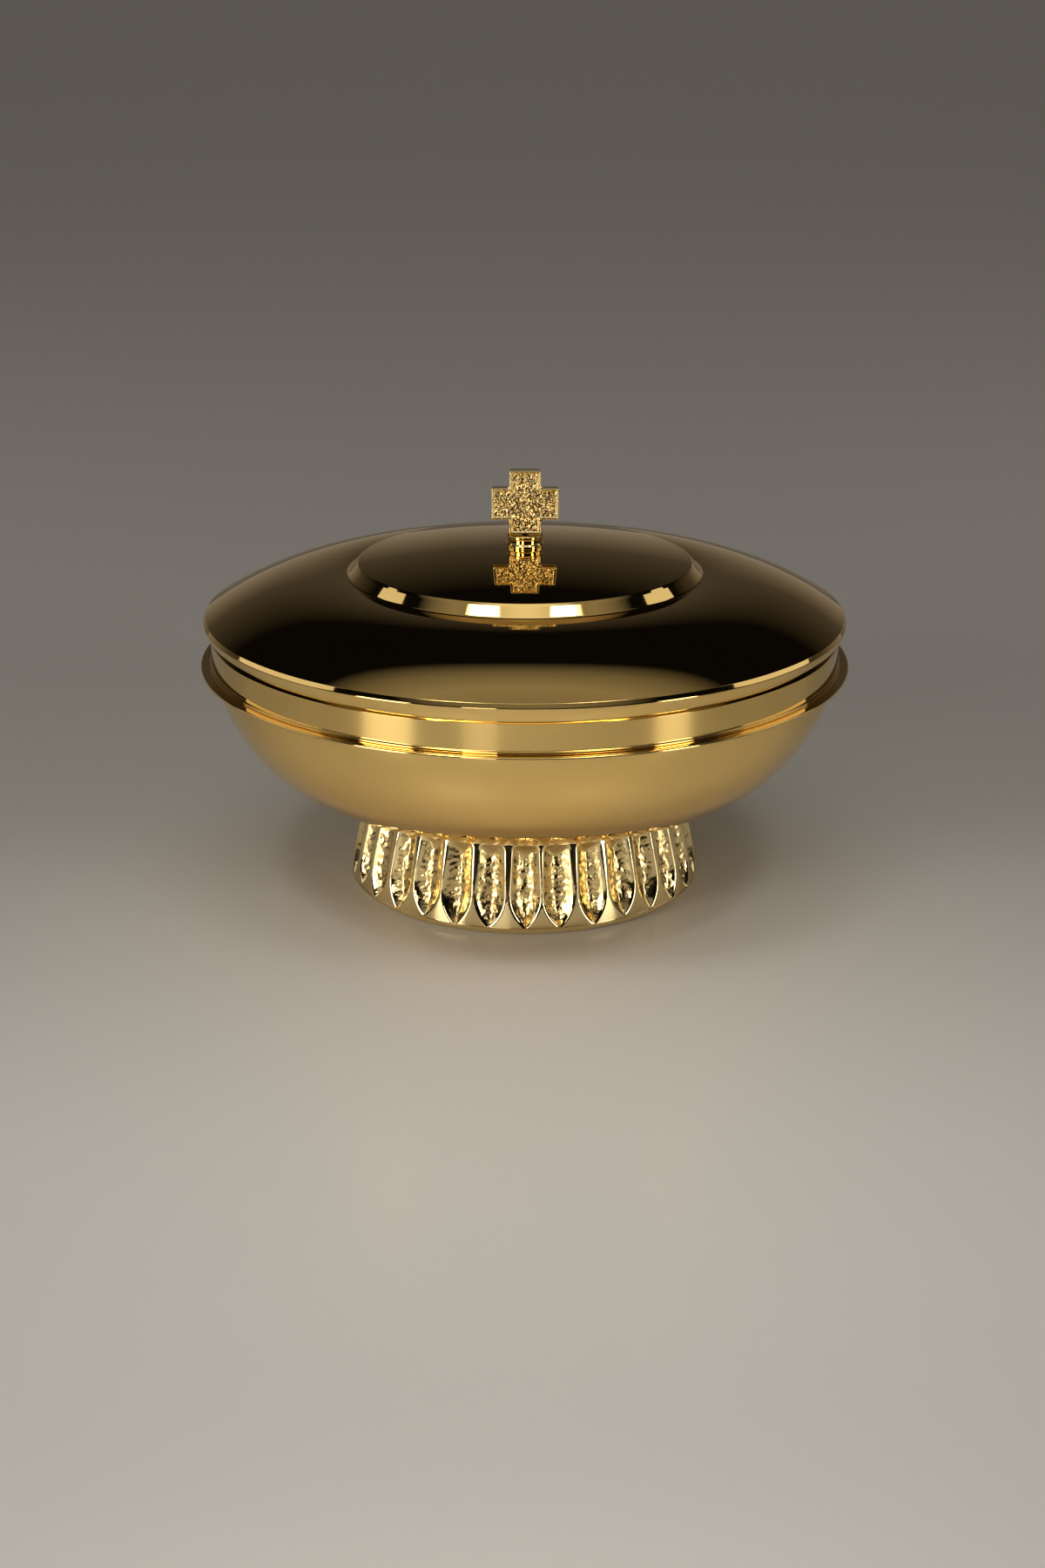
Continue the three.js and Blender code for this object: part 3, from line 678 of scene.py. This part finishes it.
threadShape = {"columns": 48, "rowsPerPitch": 9, "chamfer": 0.5}


# Threaded rod: r = R - deep (1 - cos 2 pi (z / pitch - a / 2 pi)) / 2. The thread fades out at both ends,
# and the lower end has a chamfer.
def threadedRod(radius, low, high, pitch, deep, threadTop):
    columns = threadShape["columns"]
    z = np.linspace(low, high, int((high - low) / pitch * threadShape["rowsPerPitch"]))[:, None]
    angle = np.linspace(0, 2 * np.pi, columns, endpoint=False)[None, :]
    groove = (1 - np.cos(2 * np.pi * (z / pitch - angle / (2 * np.pi)))) / 2
    fade = smoothStep(low, low + pitch, z) * (1 - smoothStep(threadTop - pitch, threadTop, z))
    chamfer = np.clip(z - low, 0, threadShape["chamfer"]) - threadShape["chamfer"]
    r = radius - deep * groove * fade + chamfer
    rod = np.stack([r * np.cos(angle), r * np.sin(angle), z + 0 * angle], -1)
    poleLow = np.zeros((1, columns, 3)) + [0, 0, low]
    poleHigh = np.zeros((1, columns, 3)) + [0, 0, high]
    return np.concatenate([poleLow, rod, poleHigh]) * mm


def makeCross():
    size = sizeOf("cross")
    shape = crossShape
    half = size["radius"]
    middle = size["top"] - half
    stem = middle - sizeOf("cross_collar")["top"]
    thick = shape["thick"] / 2
    face = np.linspace(shape["edge"], shape["arm"], shape["faceRows"])
    turn = np.linspace(0, np.pi / 2, shape["edgeRows"] + 1)[:-1]
    edgeInset = shape["edge"] * (1 - np.cos(turn))
    edgeDepth = thick - shape["edge"] * (1 - np.sin(turn))
    wall = np.linspace(thick - shape["edge"], shape["edge"] - thick, shape["wallRows"] + 2)[1:-1]
    insets = np.concatenate([face[::-1], edgeInset[::-1], 0 * wall, edgeInset, face])
    depths = np.concatenate([thick + 0 * face, edgeDepth[::-1], wall, -edgeDepth, -thick + 0 * face])
    facing = np.concatenate([1 + 0 * face, 0 * edgeInset, 0 * wall, 0 * edgeInset, -1 + 0 * face])[:, None]
    loops = np.stack([crossLoop(s, half, stem) for s in insets])
    x, z = loops[..., 0], loops[..., 1]
    relief, field = crossRelief(x, z, insets[:, None] + 0 * x)
    grid = np.stack([x, depths[:, None] + relief * facing, z + middle], -1) * mm
    rod = threadedRod(shape["shankR"], size["bottom"], middle - stem + shape["shankIn"], shape["pitch"],
                      shape["threadDeep"], sizeOf("lid_dome")["top"] - shape["threadStop"])
    body = skin("altar_cross", patch(grid, {"grain": field * np.abs(facing)}, closed=False),
                patch(rod, closed=False))
    edit = bmesh.new()
    edit.from_mesh(body.data)
    bmesh.ops.remove_doubles(edit, verts=edit.verts, dist=shape["weld"])
    edit.to_mesh(body.data)
    edit.free()
    settle(body, cast, "cross", "lid")


makeCross()

# Turned and tapped fixings. Each is a plain outline with small chamfers, and the nuts take their flats
# from r = min(flats / 2 / cos b, chamfer cone), with b the angle from the middle of a flat. The cone
# slopes at 30 degrees.
fixings = {"chamfer": 0.25, "steps": 96, "plateSteps": 256, "arcSteps": 4, "pitch": 1.0, "threadDeep": 0.45,
           "studR": 3.0, "studFlange": 1.6, "studIn": 0.4, "threadStop": 1.5, "slack": 0.3,
           "nutChamfer": 0.94, "nutRows": 5}


def makeWasher(name, node, bore, body):
    size = sizeOf(node)
    cut = fixings["chamfer"]
    outline = rounded([
        (bore, size["bottom"], cut / 2),
        (size["radius"], size["bottom"], cut),
        (size["radius"], size["top"], cut),
        (bore, size["top"], cut / 2),
    ], arcSteps=fixings["arcSteps"])
    settleTurned(name, outline, fixings["steps"], turned, node, body)


def makeNut(name, node, bore, body):
    size = sizeOf(node)
    low, high = size["bottom"], size["top"]
    cut = fixings["chamfer"]
    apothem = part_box(node)[1].y / mm
    angle = np.linspace(0, 2 * np.pi, fixings["steps"], endpoint=False)
    hexagon = apothem / np.cos(angle % (np.pi / 3) - np.pi / 6)
    seatR = apothem * fixings["nutChamfer"]
    coneRise = (apothem / math.cos(math.pi / 6) - seatR) / math.sqrt(3)
    up = np.concatenate([np.linspace(0, coneRise, fixings["nutRows"]),
                         np.linspace(high - low - coneRise, high - low, fixings["nutRows"])])
    nearEnd = np.minimum(up, high - low - up)[:, None]
    side = np.minimum(hexagon, seatR + math.sqrt(3) * nearEnd)
    bored = np.array([[bore + cut, high], [bore, high - cut], [bore, low + cut], [bore + cut, low]])
    r = np.concatenate([side, bored[:, :1] + 0 * angle])
    z = np.concatenate([low + up[:, None] + 0 * angle, bored[:, 1:] + 0 * angle])
    grid = np.stack([r * np.cos(angle), r * np.sin(angle), z], -1) * mm
    settle(skin(name, patch(grid)), turned, node, body)


# A round plate without a hole, from its axis out to a chamfered rim and back.
def discPatch(radius, low, high, steps):
    outline = rounded([
        (0, low, 0),
        (radius, low, fixings["chamfer"]),
        (radius, high, fixings["chamfer"]),
        (0, high, 0),
    ], arcSteps=fixings["arcSteps"])
    return patch(turnedGrid(outline, steps), closed=False)


def makeStud():
    size = sizeOf("bowl_stud")
    flangeLow = size["top"] - fixings["studFlange"]
    rod = threadedRod(fixings["studR"], size["bottom"], flangeLow + fixings["studIn"], fixings["pitch"],
                      fixings["threadDeep"], flangeLow - fixings["threadStop"])
    flange = discPatch(size["radius"], flangeLow, size["top"], fixings["steps"])
    stud = skin("bowl_fixing_stud", flange, patch(rod, closed=False))
    settle(stud, turned, "bowl_stud", "base")


def makeBasePlate():
    size = sizeOf("foot_base_plate")
    plate = discPatch(size["radius"], size["bottom"], size["top"], fixings["plateSteps"])
    settle(skin("foot_closing_plate", plate), turned, "foot_base_plate", "base")


makeBasePlate()
makeStud()
studBore = fixings["studR"] + fixings["slack"]
shankBore = crossShape["shankR"] + fixings["slack"]
makeWasher("foot_clamp_washer", "foot_washer", studBore, "base")
makeNut("foot_clamp_nut", "foot_nut", studBore, "base")
makeWasher("lid_washer", "cross_washer", shankBore, "lid")
makeNut("lid_nut", "cross_nut", shankBore, "lid")

# Pale floor, flat and far wider than any view, in rings whose radii are in metres.
stageShape = {"rings": [0, 0.5, 2.5, 14.0], "steps": 96, "colour": "#d8d6d2", "roughness": 0.34}


def makeStage():
    outline = np.array([[r, 0] for r in stageShape["rings"]]) / mm
    floor = skin("studio_floor", patch(turnedGrid(outline, stageShape["steps"])[::-1], closed=False))
    material, tree = emptyMaterial("satin_floor_paper")
    shader = addNode(tree, "ShaderNodeBsdfPrincipled",
                     {"Base Color": linear(stageShape["colour"]), "Roughness": stageShape["roughness"]})
    addNode(tree, "ShaderNodeOutputMaterial", links={0: shader.outputs[0]})
    floor.data.materials.append(material)


makeStage()
print("floor made")

# Room light over height - tilt x depth of the direction looked in: a pale far horizon, dark walls, and a
# soft pale ceiling that starts halfway up and hangs towards the front.
roomLight = {"tilt": 0.2, "lowest": -0.25, "stops": [
    (-0.22, "#8a8379"), (0.06, "#443f3a"), (0.34, "#0b0a09"), (0.71, "#0b0a09"),
    (0.79, "#6a665f"), (0.88, "#8c867d"), (0.95, "#827d75"), (1.0, "#f2eee6")]}


def makeRoom():
    world = bpy.data.worlds.new("studio_room")
    bpy.context.scene.world = world
    world.use_nodes = True
    tree = world.node_tree
    tree.nodes.clear()
    place = addNode(tree, "ShaderNodeTexCoord")
    height = addNode(tree, "ShaderNodeVectorMath",
                     {"operation": "DOT_PRODUCT", 1: (0, -roomLight["tilt"], 1)},
                     {0: place.outputs["Generated"]})
    level = addNode(tree, "ShaderNodeMapRange", {1: roomLight["lowest"], 2: 1.0},
                    {0: height.outputs["Value"]})
    tone = addNode(tree, "ShaderNodeValToRGB", links={0: level.outputs[0]})
    stops = tone.color_ramp.elements
    while len(stops) < len(roomLight["stops"]):
        stops.new(1.0)
    for stop, (at, colour) in zip(stops, roomLight["stops"]):
        stop.position = (at - roomLight["lowest"]) / (1 - roomLight["lowest"])
        stop.color = linear(colour)
    light = addNode(tree, "ShaderNodeBackground", links={0: tone.outputs[0]})
    addNode(tree, "ShaderNodeOutputWorld", links={0: light.outputs[0]})


makeRoom()


# Soft boxes at an azimuth (0 is in front, counter-clockwise from above) and an elevation in degrees, a
# distance and a size in metres, and a power in watts. The pool boxes look at the floor in front of the
# object, which the bowl mirrors, and the others at the object itself.
lampColour = "#fffaf2"
softBoxes = {
    "left_pool_box": {"azimuth": -36, "elevation": 56, "distance": 0.85, "width": 0.3, "height": 0.3,
                      "power": 0.075, "aim": (-0.08, -0.185, 0), "spread": 22},
    "right_pool_box": {"azimuth": 38, "elevation": 56, "distance": 0.85, "width": 0.3, "height": 0.3,
                       "power": 0.06, "aim": (0.105, -0.175, 0), "spread": 22},
    "near_pool_box": {"azimuth": 0, "elevation": 58, "distance": 1.05, "width": 0.16, "height": 0.16,
                      "power": 0.22, "aim": (0, -0.45, 0), "spread": 20},
    "front_low_box": {"azimuth": -15, "elevation": 17, "distance": 1.05, "width": 0.2, "height": 0.24,
                      "power": 0.55},
    "left_low_box": {"azimuth": -48, "elevation": 14, "distance": 1.1, "width": 0.34, "height": 0.5,
                     "power": 3.0},
    "right_low_box": {"azimuth": 52, "elevation": 13, "distance": 1.1, "width": 0.24, "height": 0.5,
                      "power": 1.8},
    "left_side_box": {"azimuth": -96, "elevation": 30, "distance": 1.1, "width": 0.8, "height": 0.5,
                      "power": 0.95},
    "right_side_box": {"azimuth": 100, "elevation": 30, "distance": 1.1, "width": 0.7, "height": 0.5,
                       "power": 0.85},
}


def softBox(name, azimuth, elevation, distance, width, height, power, aim=(0, 0, 0.05), spread=180):
    light = bpy.data.lights.new(name, "AREA")
    light.shape = "RECTANGLE"
    light.size = width
    light.size_y = height
    light.energy = power
    light.color = linear(lampColour)[:3]
    light.spread = math.radians(spread)
    lamp = bpy.data.objects.new(name, light)
    a, e = math.radians(azimuth), math.radians(elevation)
    lamp.location = Vector((math.sin(a) * math.cos(e), -math.cos(a) * math.cos(e), math.sin(e))) * distance
    lamp.rotation_euler = (lamp.location - Vector(aim)).to_track_quat("Z", "Y").to_euler()
    bpy.context.scene.collection.objects.link(lamp)


for boxName, box in softBoxes.items():
    softBox(boxName, **box)
print("lights made")

# The camera stands where the photograph was taken from, worked out from the ellipses of the rims. Places
# are in metres, angles in radians, and the lens and the sensor in millimetres.
cameraPlace = {"lens": 56.0, "sensor": 36.0, "clipFrom": 0.01, "clipTo": 20.0, "side": -0.001, "back": 0.5523,
               "height": 0.2185, "down": 0.342, "yaw": -0.001, "roll": 0.0023}


def makeCamera():
    data = bpy.data.cameras.new("still_camera")
    data.lens = cameraPlace["lens"]
    data.sensor_width = cameraPlace["sensor"]
    data.clip_start = cameraPlace["clipFrom"]
    data.clip_end = cameraPlace["clipTo"]
    camera = bpy.data.objects.new("still_camera", data)
    camera.location = (cameraPlace["side"], -cameraPlace["back"], cameraPlace["height"])
    camera.rotation_euler = (math.pi / 2 - cameraPlace["down"], 0, cameraPlace["yaw"])
    camera.rotation_euler.rotate_axis("Z", cameraPlace["roll"])
    bpy.context.scene.collection.objects.link(camera)
    bpy.context.scene.camera = camera


makeCamera()
bpy.context.scene.view_settings.view_transform = "Standard"
